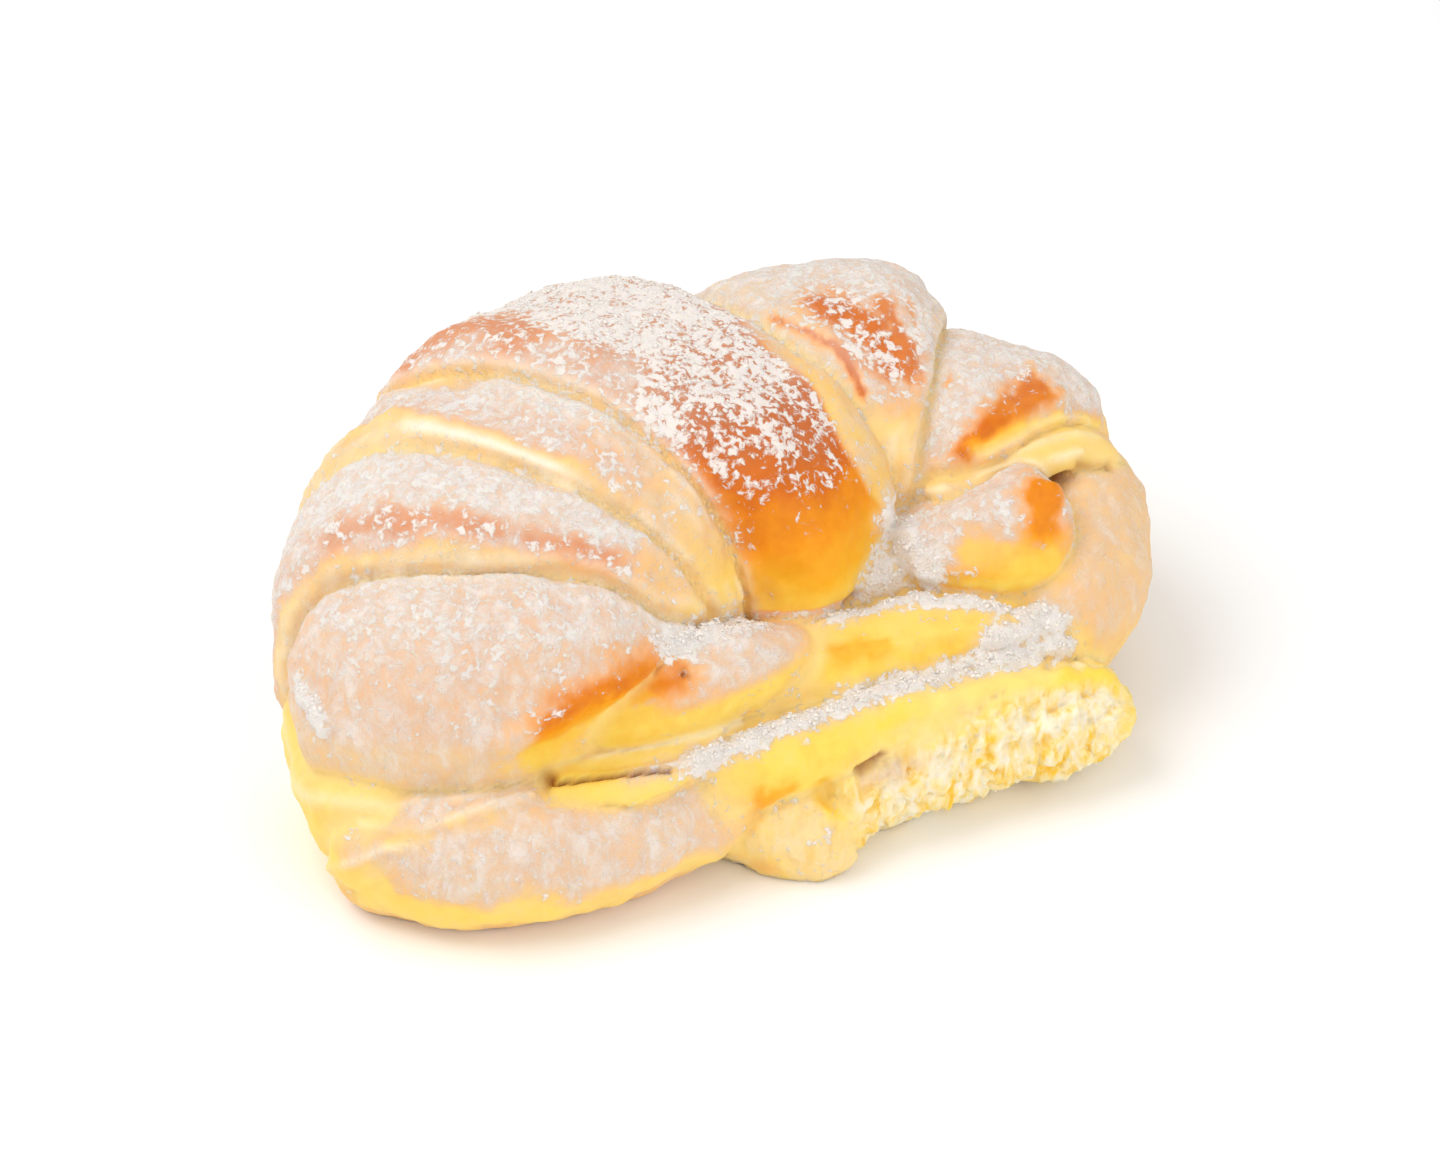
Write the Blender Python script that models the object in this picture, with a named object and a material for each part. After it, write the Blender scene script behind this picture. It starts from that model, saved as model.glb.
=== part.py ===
"""A soft bread croissant: a crescent of rolled dough turns, closed in front by its tucked-in horns
and a torn lip.

+X runs along the crescent to its short horn and +Z points up. The croissant lies on Z = 0, and the
origin is the middle of its footprint.
"""

import math

import bmesh
import bpy
from mathutils import Vector

MM = 0.001

# Driving sizes of the whole, in millimetres
CORE_MIDDLE = (-4.0, 14.0, 26.0)
CORE_REACH = (52.0, 26.0, 26.0)
UNDERSIDE_MIDDLE = (-2.0, 1.0, 8.0)
UNDERSIDE_REACH = (58.0, 33.0, 14.0)
FLOOR_SLAB = 60.0
WIDEST = 200.0
SAME_POINT = 0.02

SHARP_CREASE = 50.0  # degrees

# Fineness of the faceted solid
TURN_RINGS = 13
TURN_SIDES = 32
ROLL_RINGS = 12
ROLL_SIDES = 16
CAP_RINGS = 4
MOUND_SEGMENTS = 24
MOUND_RINGS = 12

CRUST_COLOUR = (0.86, 0.62, 0.33, 1.0)
CRUST_ROUGHNESS = 0.62


class Turn:
    """One turn of the rolled dough: a squared-off disc that stands across the crescent.

    inner and outer are its places on the crescent's inner and outer side, waist is the height of its
    middle, and top the height of its crest. half is its half width. wedge says how much wider it is
    at its outer side, tilt how much higher it is there, and bank how much higher on its left flank.
    skew says how far its outer end is carried out on the left flank. square and rim say how rounded
    its flanks and its rim are, where 1 is an ellipse.
    """

    def __init__(
        self, name, inner, outer, waist, top, half, wedge,
        tilt=0.0, bank=0.0, skew=0.0, square=0.6, rim=0.9,
    ):
        self.name = name
        self.inner = Vector((*inner, 0.0))
        self.outer = Vector((*outer, 0.0))
        self.waist = waist
        self.top = top
        self.half = half
        self.wedge = wedge
        self.tilt = tilt
        self.bank = bank
        self.skew = skew
        self.square = square
        self.rim = rim


TURNS = (
    Turn(
        "crown", (15, -13.5), (-17, 50), 29, 60, 22, wedge=0.36, tilt=0.08, bank=0.2, skew=0.1,
        square=0.5, rim=0.8,
    ),
    Turn("left_2", (-3, -14), (-46, 37), 27, 58, 17, wedge=0.45, tilt=0.04, skew=0.1),
    Turn("left_3", (-9, -15), (-60, 24), 26, 55, 15, wedge=0.45, tilt=0.12),
    Turn("right_2", (23, -7), (33, 44), 28, 57, 20, wedge=0.4, tilt=0.03, skew=0.05),
    Turn("right_3", (27, -7), (59, 16), 26, 48, 17, wedge=0.35, skew=-0.1),
)

# Each roll is a tapering rope of dough. A station is x, y, z, half width and half height.
ROLLS = {
    "left_4": (
        (-55, -5, 25, 15, 21),
        (-44, -10, 27, 15, 20),
        (-31, -14, 30, 12, 15),
        (-19, -17, 29, 6, 7),
    ),
    "left_end_wrap": (
        (-58, 2, 15, 11, 14),
        (-62, -10, 13, 9, 13),
        (-62, -16, 9, 7, 9),
    ),
    "lower_lip_left": (
        (-63, -15, 10.5, 8, 11.5),
        (-50, -24, 10.5, 10, 11.5),
        (-32, -27, 10, 10, 11),
        (-16, -27, 11, 9, 9.5),
    ),
    "lower_lip_right": (
        (-16, -28, 14, 8, 8),
        (0, -30, 16, 8, 6),
        (16, -31, 17, 8, 4.5),
        (34, -31, 17.5, 7, 3.5),
    ),
    "left_horn_tip": (
        (-33, -19, 26, 6, 6),
        (-22, -21, 26, 7, 7),
        (-10, -21, 26, 7, 7),
    ),
    "left_layers": (
        (-40, -24, 21, 6, 2.5),
        (-28, -27, 20, 7, 2.5),
        (-14, -27, 21, 7, 2.5),
    ),
    "middle_fold": (
        (-4, -21, 20, 7, 7),
        (12, -22, 21, 8, 7),
        (28, -24, 20, 8, 7),
        (46, -28, 19, 7, 5),
    ),
    "right_flap": (
        (34, -8, 36.5, 4, 2.5),
        (47, -9, 38, 5, 2.5),
        (57, -12, 36.5, 5, 2.5),
    ),
    "right_horn_tip": (
        (26, -11, 30, 8, 8),
        (34, -15, 31, 9, 10),
        (41, -18, 30, 8, 12),
    ),
    "right_end_wrap": (
        (57, 4, 21, 9, 14),
        (56, -12, 22, 10, 15),
        (48, -23, 18, 9, 13),
        (38, -26, 14, 8, 10),
    ),
    "inner_floor": (
        (14, -8, 24, 9, 9),
        (28, -8, 25, 9, 9),
    ),
    "torn_lobe": (
        (-8, -28, 7, 5, 7.5),
        (-6, -36, 7, 4.5, 7.5),
    ),
    "torn_base": (
        (4, -31, 10, 8.5, 10.5),
        (17, -32.5, 10.5, 9, 10.5),
        (30, -33.5, 10.5, 9.5, 10),
        (41, -35, 9.5, 9.5, 8.5),
    ),
}


def signed_power(value, exponent):
    return math.copysign(abs(value) ** exponent, value)


def new_object(name, mesh, collection):
    obj = bpy.data.objects.new(name, mesh)
    collection.objects.link(obj)
    return obj


def closed_skin(name, rings, first_pole, last_pole, collection):
    """A closed mesh through the rings, which all have the same number of points, and the two poles."""
    work = bmesh.new()
    rows = [[work.verts.new(Vector(p) * MM) for p in ring] for ring in rings]
    poles = [work.verts.new(Vector(p) * MM) for p in (first_pole, last_pole)]
    sides = len(rows[0])
    for i in range(sides):
        j = (i + 1) % sides
        for low, high in zip(rows, rows[1:]):
            work.faces.new((low[i], low[j], high[j], high[i]))
        work.faces.new((poles[0], rows[0][j], rows[0][i]))
        work.faces.new((rows[-1][i], rows[-1][j], poles[1]))
    bmesh.ops.recalc_face_normals(work, faces=work.faces)
    mesh = bpy.data.meshes.new(name)
    work.to_mesh(mesh)
    work.free()
    return new_object(name, mesh, collection)


def make_turn(turn, collection):
    out = turn.outer - turn.inner
    reach = out.length / 2
    out.normalize()
    across = Vector((-out.y, out.x, 0.0))
    middle = (turn.inner + turn.outer) / 2 + Vector((0.0, 0.0, turn.waist))
    rise = turn.top - turn.waist

    def point(flank_angle, rim_angle):
        shrink = abs(math.cos(flank_angle)) ** turn.square
        outward = shrink * signed_power(math.cos(rim_angle), turn.rim)
        height = shrink * signed_power(math.sin(rim_angle), turn.rim)
        aside = signed_power(math.sin(flank_angle), turn.square)
        outer_share = (1 + outward) / 2
        height *= 1 + turn.tilt * outward + turn.bank * aside * outer_share
        return (
            middle
            + out * reach * (outward + turn.skew * aside * outer_share)
            + across * turn.half * aside * (1 + turn.wedge * outward)
            + Vector((0.0, 0.0, rise * height))
        )

    rings = []
    for row in range(1, TURN_RINGS + 1):
        flank_angle = math.pi * (row / (TURN_RINGS + 1) - 0.5)
        rings.append(
            [point(flank_angle, 2 * math.pi * k / TURN_SIDES) for k in range(TURN_SIDES)]
        )
    poles = [middle - across * turn.half, middle + across * turn.half]
    return closed_skin(turn.name, rings, *poles, collection)


def smooth_stations(stations, count):
    """count rows of numbers along one smooth curve through the stations."""
    padded = [
        [2 * a - b for a, b in zip(stations[0], stations[1])],
        *stations,
        [2 * a - b for a, b in zip(stations[-1], stations[-2])],
    ]
    rows = []
    for k in range(count):
        place = (len(stations) - 1) * k / (count - 1)
        leg = min(int(place), len(stations) - 2)
        t = place - leg
        weights = (
            -0.5 * t + t * t - 0.5 * t**3,
            1 - 2.5 * t * t + 1.5 * t**3,
            0.5 * t + 2 * t * t - 1.5 * t**3,
            -0.5 * t * t + 0.5 * t**3,
        )
        near = padded[leg : leg + 4]
        rows.append([sum(w * p[c] for w, p in zip(weights, near)) for c in range(5)])
    return rows


def roll_ring(centre, along, half, rise):
    """One section of a roll, square to the direction in which it runs."""
    across = along.cross(Vector((0.0, 0.0, 1.0))).normalized()
    up = across.cross(along).normalized()
    ring = []
    for k in range(ROLL_SIDES):
        angle = 2 * math.pi * k / ROLL_SIDES
        ring.append(centre + across * half * math.cos(angle) + up * rise * math.sin(angle))
    return ring


def roll_end(row, centre, along, away):
    """The rings that round a roll's end off, from its full section on, and the pole they lead to.

    away is 1 where the roll ends in the direction in which it runs, and -1 at its start.
    """
    half, rise = row[3:]
    dome = min(half, rise)
    rings = []
    for k in range(CAP_RINGS):
        angle = math.pi / 2 * k / CAP_RINGS
        share = math.cos(angle)
        middle = centre + along * away * dome * math.sin(angle)
        rings.append(roll_ring(middle, along, half * share, rise * share))
    return rings, centre + along * away * dome


def make_roll(name, stations, collection):
    rows = smooth_stations(stations, ROLL_RINGS)
    centres = [Vector(row[:3]) for row in rows]
    first_run = (centres[1] - centres[0]).normalized()
    last_run = (centres[-1] - centres[-2]).normalized()
    first, first_pole = roll_end(rows[0], centres[0], first_run, -1)
    last, last_pole = roll_end(rows[-1], centres[-1], last_run, 1)
    rings = list(reversed(first))
    for i in range(1, ROLL_RINGS - 1):
        along = (centres[i + 1] - centres[i - 1]).normalized()
        rings.append(roll_ring(centres[i], along, *rows[i][3:]))
    rings.extend(last)
    return closed_skin(name, rings, first_pole, last_pole, collection)


def make_mound(name, middle, reach, collection):
    """A rounded lump of dough, reach being its half length, half width and half height."""
    work = bmesh.new()
    bmesh.ops.create_uvsphere(
        work, u_segments=MOUND_SEGMENTS, v_segments=MOUND_RINGS, radius=1.0
    )
    for vert in work.verts:
        vert.co = Vector([m + r * c for m, r, c in zip(middle, reach, vert.co)]) * MM
    mesh = bpy.data.meshes.new(name)
    work.to_mesh(mesh)
    work.free()
    return new_object(name, mesh, collection)


def make_floor_cutter(collection):
    """A slab below the croissant, which cuts its flat underside."""
    work = bmesh.new()
    bmesh.ops.create_cube(work, size=1.0)
    for vert in work.verts:
        vert.co.x *= WIDEST * MM
        vert.co.y *= WIDEST * MM
        vert.co.z = (vert.co.z - 0.5) * FLOOR_SLAB * MM
    mesh = bpy.data.meshes.new("floor_cutter")
    work.to_mesh(mesh)
    work.free()
    cutter = new_object("floor_cutter", mesh, collection)
    cutter.hide_render = True
    cutter.display_type = "WIRE"
    return cutter


def apply_boolean(obj, operation, collection):
    """Joins the collection's objects to obj, or cuts them from it, and removes them."""
    modifier = obj.modifiers.new(operation.lower(), "BOOLEAN")
    modifier.operation = operation
    modifier.operand_type = "COLLECTION"
    modifier.collection = collection
    modifier.solver = "EXACT"
    bpy.context.view_layer.update()
    graph = bpy.context.evaluated_depsgraph_get()
    mesh = bpy.data.meshes.new_from_object(obj.evaluated_get(graph))
    obj.modifiers.remove(modifier)
    obj.data = mesh
    for other in list(collection.objects):
        bpy.data.objects.remove(other, do_unlink=True)
    bpy.data.collections.remove(collection)


def islands(work):
    """The vertices of each connected piece."""
    left = set(work.verts)
    found = []
    while left:
        start = left.pop()
        piece = {start}
        edge = [start]
        while edge:
            vert = edge.pop()
            for link in vert.link_edges:
                other = link.other_vert(vert)
                if other in left:
                    left.discard(other)
                    piece.add(other)
                    edge.append(other)
        found.append(piece)
    return found


def clean(mesh):
    """Merges points that coincide, drops scraps and sealed hollows, and centres the footprint."""
    work = bmesh.new()
    work.from_mesh(mesh)
    bmesh.ops.remove_doubles(work, verts=work.verts, dist=SAME_POINT * MM)
    pieces = sorted(islands(work), key=len, reverse=True)
    for piece in pieces[1:]:
        bmesh.ops.delete(work, geom=list(piece), context="VERTS")
    bmesh.ops.triangulate(work, faces=work.faces)
    for vert in work.verts:
        if abs(vert.co.z) < SAME_POINT * MM:
            vert.co.z = 0.0
    xs = [vert.co.x for vert in work.verts]
    ys = [vert.co.y for vert in work.verts]
    middle = Vector(((min(xs) + max(xs)) / 2, (min(ys) + max(ys)) / 2, 0.0))
    bmesh.ops.translate(work, verts=work.verts, vec=-middle)
    work.to_mesh(mesh)
    work.free()


def crust_material():
    material = bpy.data.materials.new("crust")
    material.use_nodes = True
    shader = material.node_tree.nodes["Principled BSDF"]
    shader.inputs["Base Color"].default_value = CRUST_COLOUR
    shader.inputs["Roughness"].default_value = CRUST_ROUGHNESS
    shader.inputs["Metallic"].default_value = 0.0
    return material


def new_collection(name):
    collection = bpy.data.collections.new(name)
    bpy.context.scene.collection.children.link(collection)
    return collection


def make_lobes(collection):
    for turn in TURNS:
        make_turn(turn, collection)
    for name, stations in ROLLS.items():
        make_roll(name, stations, collection)
    make_mound("underside", UNDERSIDE_MIDDLE, UNDERSIDE_REACH, collection)


def main():
    for obj in list(bpy.data.objects):
        bpy.data.objects.remove(obj, do_unlink=True)
    croissant = make_mound(
        "croissant", CORE_MIDDLE, CORE_REACH, bpy.context.scene.collection
    )
    lobes = new_collection("lobes")
    make_lobes(lobes)
    apply_boolean(croissant, "UNION", lobes)
    floor = new_collection("floor")
    make_floor_cutter(floor)
    apply_boolean(croissant, "DIFFERENCE", floor)
    clean(croissant.data)
    croissant.data.materials.clear()
    croissant.data.materials.append(crust_material())
    croissant.data.shade_smooth()
    croissant.data.set_sharp_from_angle(angle=math.radians(SHARP_CREASE))


if __name__ == "__main__":
    main()
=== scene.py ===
"""Looks of the cream-filled croissant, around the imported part: crust, torn crumb and sugar."""

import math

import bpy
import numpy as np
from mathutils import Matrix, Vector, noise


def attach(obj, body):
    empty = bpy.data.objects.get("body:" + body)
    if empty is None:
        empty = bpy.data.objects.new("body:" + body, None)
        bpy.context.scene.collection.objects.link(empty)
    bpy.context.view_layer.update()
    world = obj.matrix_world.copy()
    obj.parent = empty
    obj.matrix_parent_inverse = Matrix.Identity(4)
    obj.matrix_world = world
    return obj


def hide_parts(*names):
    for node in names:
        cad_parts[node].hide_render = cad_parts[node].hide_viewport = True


bl_info = {
    "name": "Cream-filled croissant",
    "version": (1, 0, 0),
    "blender": (4, 5, 0),
    "location": "3D View > Sidebar > Croissant",
    "description": "Shapes, bakes and dusts a cream-filled croissant around its packed part",
    "category": "Add Mesh",
}

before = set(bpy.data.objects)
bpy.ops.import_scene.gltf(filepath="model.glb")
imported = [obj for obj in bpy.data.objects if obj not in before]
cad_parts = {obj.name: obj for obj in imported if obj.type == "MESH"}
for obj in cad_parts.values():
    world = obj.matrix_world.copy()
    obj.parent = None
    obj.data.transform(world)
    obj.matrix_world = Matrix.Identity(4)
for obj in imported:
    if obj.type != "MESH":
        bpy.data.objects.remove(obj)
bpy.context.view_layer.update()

MM = 0.001
NODE = "croissant"
DOUGH = "croissant_dough"
CLUMPS = "sugar_clumps"
POWDER = "Powdered sugar"

# The lobes are placed in millimetres round a middle of their own, this far from the footprint's
FOOTPRINT_MIDDLE = np.array([-1.638, 5.347, 0.0])

# In millimetres: how wide the border is on which one lobe's paint gives way to the next one's, and
# how low the dough has to be to lie flat on the floor
LOBE_BLEND = 0.7
FLOOR_CONTACT = 0.4

# How far clumps of sugar are strewn round the points that they are drawn at, in millimetres
STREWN = 0.3

# The depth of a cleft and the width of a tuft of crumb, in millimetres
CLEFT_DEPTH = 1.3
TUFT = 1.7

# The floor's height, so that it doesn't lie in the croissant's flat underside, in metres
FLOOR_DROP = -0.0003

# How far the grain of a skin stands out where its pattern is 1, in metres
BUMP_REACH = 0.0005


def mixed(start, end, share):
    return start + (end - start) * share


def fade(low, high, value):
    """0 up to low and 1 from high on, or the other way round where low is above high."""
    share = np.clip((value - low) / (high - low), 0.0, 1.0)
    return share * share * (3 - 2 * share)


def bump(middle, width, value):
    return np.exp(-(((value - middle) / width) ** 2))


def signed_power(value, exponent):
    return np.sign(value) * np.abs(value) ** exponent


def unit_rows(vectors):
    return vectors / np.linalg.norm(vectors, axis=1)[:, None]


def from_srgb(red, green, blue):
    """A colour as a picture holds it, 0 to 255, as the linear one that a shader takes."""
    shares = [channel / 255 for channel in (red, green, blue)]
    return tuple(c / 12.92 if c <= 0.04045 else ((c + 0.055) / 1.055) ** 2.4 for c in shares)


class Mound:
    """A rounded lump of dough, by its middle and its half length, half width and half height."""

    def __init__(self, middle, reach):
        self.middle = np.array(middle, float)
        self.reach = np.array(reach, float)

    def shape(self, unit):
        return self.middle + self.reach * unit

    def distance(self, points):
        away = (points - self.middle) / self.reach
        level = np.linalg.norm(away, axis=1)
        slope = np.linalg.norm(away / self.reach, axis=1) / np.maximum(level, 0.01)
        return (level - 1) / slope


class Turn:
    """One turn of the rolled dough: a squared-off disc that stands across the crescent.

    inner and outer are its places on the crescent's inner and outer side, waist is the height of
    its middle, and top the height of its crest. half is its half width. wedge says how much wider
    it is at its outer side, tilt how much higher it is there, and bank how much higher on its left
    flank. skew says how far its outer end is carried out on the left flank. square and rim say how
    rounded its flanks and its rim are, where 1 is an ellipse.
    """

    def __init__(
        self, inner, outer, waist, top, half, wedge,
        tilt=0.0, bank=0.0, skew=0.0, square=0.6, rim=0.9,
    ):
        run = np.array([*outer, 0.0]) - np.array([*inner, 0.0])
        self.reach = np.linalg.norm(run) / 2
        self.out = run / (2 * self.reach)
        self.across = np.array([-self.out[1], self.out[0], 0.0])
        self.middle = np.array([*inner, 0.0]) + run / 2 + np.array([0.0, 0.0, waist])
        self.rise, self.half = top - waist, half
        self.wedge, self.tilt, self.bank, self.skew = wedge, tilt, bank, skew
        self.square, self.rim = square, rim

    def shape(self, unit):
        """The turn's surface from a unit ball's, whose axis lies across the turn."""
        rim_angle = np.arctan2(unit[:, 1], unit[:, 0])
        shrink = np.sqrt(np.maximum(1 - unit[:, 2] ** 2, 0.0)) ** self.square
        outward = shrink * signed_power(np.cos(rim_angle), self.rim)
        height = shrink * signed_power(np.sin(rim_angle), self.rim)
        aside = signed_power(unit[:, 2], self.square)
        outer_share = (1 + outward) / 2
        height = height * (1 + self.tilt * outward + self.bank * aside * outer_share)
        points = self.middle + np.outer(
            self.reach * (outward + self.skew * aside * outer_share), self.out
        )
        points += np.outer(self.half * aside * (1 + self.wedge * outward), self.across)
        points[:, 2] += self.rise * height
        return points

    def place(self, points):
        """How far outward, aside and high each point is in the turn, 1 being its surface."""
        away = points - self.middle
        along = away @ self.out / self.reach
        sideways = away @ self.across / self.half
        outward = along
        for _ in range(4):
            aside = sideways / np.maximum(1 + self.wedge * outward, 0.3)
            outward = along - self.skew * aside * (1 + outward) / 2
        lift = 1 + self.tilt * outward + self.bank * aside * (1 + outward) / 2
        return outward, aside, away[:, 2] / self.rise / np.maximum(lift, 0.3)

    def level(self, points):
        outward, aside, height = self.place(points)
        round_rim, round_flank = 2 / self.rim, 2 / self.square
        shrink = (np.abs(outward) ** round_rim + np.abs(height) ** round_rim) ** (1 / round_rim)
        return (np.abs(aside) ** round_flank + shrink**round_flank) ** (1 / round_flank)

    def distance(self, points):
        level = self.level(points)
        step = 0.4
        slope = [
            (self.level(points + step * side) - self.level(points - step * side)) / (2 * step)
            for side in np.eye(3)
        ]
        return (level - 1) / np.maximum(np.linalg.norm(slope, axis=0), 0.004)

    def bend(self, points):
        """The angle round the rim: 0 at the outer end, 90 on the crest and 180 at the inner end."""
        outward, _, height = self.place(points)
        return np.degrees(np.arctan2(height, outward))


class Roll:
    """A tapering rope of dough. A station is x, y, z, half width and half height."""

    DOME_SHARE = 0.12
    SAMPLES = 56

    def __init__(self, *stations):
        self.stations = np.array(stations, float)
        rows = self.along(np.linspace(0, 1, self.SAMPLES))
        self.centres, self.halves, self.rises = rows[:, :3], rows[:, 3], rows[:, 4]
        self.runs = unit_rows(np.gradient(self.centres, axis=0))

    def along(self, share):
        """Stations on one smooth curve through the roll's own, at shares of its length."""
        own = self.stations
        padded = np.vstack([2 * own[0] - own[1], own, 2 * own[-1] - own[-2]])
        place = np.clip(share, 0, 1) * (len(own) - 1)
        leg = np.minimum(place.astype(int), len(own) - 2)
        t = (place - leg)[:, None]
        near = [padded[leg + k] for k in range(4)]
        return (
            near[0] * (-0.5 * t + t**2 - 0.5 * t**3)
            + near[1] * (1 - 2.5 * t**2 + 1.5 * t**3)
            + near[2] * (0.5 * t + 2 * t**2 - 1.5 * t**3)
            + near[3] * (-0.5 * t**2 + 0.5 * t**3)
        )

    def aside_and_up(self, run):
        """The ways across the roll and up, where it runs along run."""
        across = unit_rows(np.cross(run, [0.0, 0.0, 1.0]))
        return across, np.cross(across, run)

    def shape(self, unit):
        """The roll's surface from a unit ball's, whose axis lies along the roll."""
        share = np.arcsin(np.clip(unit[:, 2], -1, 1)) / np.pi + 0.5
        angle = np.arctan2(unit[:, 1], unit[:, 0])
        body = (share - self.DOME_SHARE) / (1 - 2 * self.DOME_SHARE)
        rows = self.along(body)
        inside = np.clip(body, 0, 1)
        run = unit_rows(self.along(inside + 0.01)[:, :3] - self.along(inside - 0.01)[:, :3])
        across, up = self.aside_and_up(run)
        past = np.maximum(-body, body - 1) * (1 - 2 * self.DOME_SHARE) / self.DOME_SHARE
        tip = np.clip(past, 0, 1) * np.pi / 2
        shrink = np.cos(tip)
        dome = np.minimum(rows[:, 3], rows[:, 4]) * np.sin(tip) * np.sign(body - 0.5)
        return (
            rows[:, :3]
            + run * dome[:, None]
            + across * (rows[:, 3] * shrink * np.cos(angle))[:, None]
            + up * (rows[:, 4] * shrink * np.sin(angle))[:, None]
        )

    def distance(self, points):
        away = np.linalg.norm(points[:, None, :] - self.centres[None, :, :], axis=2)
        near = np.argmin(away, axis=1)
        offset = points - self.centres[near]
        run = self.runs[near]
        across, up = self.aside_and_up(run)
        half, rise = self.halves[near], self.rises[near]
        sideways = (offset * across).sum(1)
        height = (offset * up).sum(1)
        beyond = (offset * run).sum(1)
        at_end = (near == 0) | (near == self.SAMPLES - 1)
        beyond = np.where(at_end, beyond, 0.0)
        level = np.sqrt(
            (sideways / half) ** 2 + (height / rise) ** 2 + (beyond / np.minimum(half, rise)) ** 2
        )
        reach = np.sqrt(sideways**2 + height**2 + beyond**2)
        return reach * (1 - 1 / np.maximum(level, 0.01))


LOBES = {
    "core": Mound((-4, 14, 26), (52, 26, 26)),
    "underside": Mound((-2, 1, 8), (58, 33, 14)),
    "crown": Turn(
        (17.4, -14), (-19, 50.5), 29, 58.6, 22, wedge=0.3, tilt=0.08, bank=0.25, skew=0.14,
        square=0.46, rim=0.78,
    ),
    "left_2": Turn((-4.5, -14), (-46, 37), 27, 58, 15.6, wedge=0.54, tilt=0.04, skew=0.1),
    "left_3": Turn((-9, -15), (-60, 24), 26, 55, 15, wedge=0.45, tilt=0.12),
    "right_2": Turn((23, -7), (33, 43), 28, 56, 19.5, wedge=0.38, tilt=0.03, skew=0.05),
    "right_3": Turn((27, -7), (59, 16), 26, 48, 17, wedge=0.35, skew=-0.1),
    "left_4": Roll(
        (-55, -5, 25, 15, 21), (-44, -10, 27, 15, 20), (-31, -14, 30, 12, 15), (-19, -17, 29, 6, 7)
    ),
    "left_end_wrap": Roll((-58, 2, 15, 11, 14), (-62, -10, 13, 9, 13), (-62, -16, 9, 7, 9)),
    "lower_lip_left": Roll(
        (-63, -15, 10.5, 8, 11.5), (-50, -24, 10.5, 10, 11.5), (-32, -27, 10, 10, 11),
        (-16, -27, 11, 9, 9.5),
    ),
    "lower_lip_right": Roll(
        (-16, -28, 14, 8, 8), (0, -30, 16, 8, 6), (16, -31, 17, 8, 4.5), (34, -31, 17.5, 7, 3.5)
    ),
    "left_horn_tip": Roll(
        (-33, -19, 26, 6, 6), (-22, -21, 26, 7, 7), (-10, -21, 26, 7, 7), (2, -20, 23.5, 6, 5)
    ),
    "left_layers": Roll((-40, -24, 21, 6, 2.5), (-28, -27, 20, 7, 2.5), (-16, -26.5, 21, 5, 2)),
    "middle_fold": Roll(
        (-4, -21, 20, 7, 7), (12, -22, 21, 8, 7), (28, -24, 20, 8, 7), (42, -27.5, 19, 6.5, 4.5)
    ),
    "right_flap": Roll(
        (32, -9, 36.5, 4, 2.2), (47, -9, 38, 5, 2.4), (56, -11, 37, 5, 2), (61, -11, 34, 3, 1.5)
    ),
    "right_horn_tip": Roll(
        (27, -11, 28, 7, 7), (34, -15.5, 29.5, 8.5, 8.8), (41, -18.5, 30, 8, 11.5)
    ),
    "right_end_wrap": Roll(
        (57, 4, 21, 9, 14), (56, -12, 22, 10, 15), (48, -23, 18, 9, 13), (38, -26, 14, 8, 10)
    ),
    "inner_floor": Roll((14, -8, 24, 9, 9), (28, -8, 25, 9, 9)),
    "torn_lobe": Roll((-13, -29, 6, 6, 7), (-8.5, -33.5, 6, 6.5, 8), (-4, -37, 5, 6, 7.5)),
    "torn_base": Roll(
        (0, -35, 6, 6, 7), (5, -33, 8.5, 7.5, 9.8), (17, -32.5, 10.5, 9, 10.5),
        (30, -33.5, 10.5, 9.5, 10), (41, -35, 9.5, 9.5, 8.5),
    ),
}

# Thin edges of rolled layers that run beside a crease: the lobe that carries it, its neighbour, how
# far from the neighbour it runs, how wide and how high it is in millimetres, and how pale it shows
LAYER_EDGES = (
    ("crown", "left_2", 1.5, 0.7, 0.7, 0.5),
    ("left_2", "crown", 2.2, 0.6, 0.4, 0.5),
    ("left_2", "crown", 4.4, 0.7, 0.3, 0.3),
    ("left_2", "left_3", 1.2, 0.6, 0.6, 0.4),
    ("left_3", "left_2", 1.6, 0.7, 0.3, 0.2),
    ("left_3", "left_4", 3.0, 0.8, 0.5, 0.3),
    ("left_4", "left_3", 1.3, 1.0, 0.6, 0.6),
    ("right_2", "right_3", 1.6, 0.6, 0.6, 0.4),
    ("right_2", "right_3", 4.0, 0.7, 0.5, 0.5),
    ("right_2", "crown", 3.0, 1.0, 0.4, 0.2),
    ("right_3", "right_flap", 1.5, 0.8, 0.7, 0.4),
    ("right_flap", "right_horn_tip", 1.4, 0.6, 0.5, 0.6),
    ("lower_lip_left", "left_4", 1.4, 0.7, 0.6, 0.5),
    ("left_end_wrap", "left_4", 2.0, 0.8, 0.6, 0.4),
    ("middle_fold", "crown", 1.6, 0.7, 0.5, 0.3),
)

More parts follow.
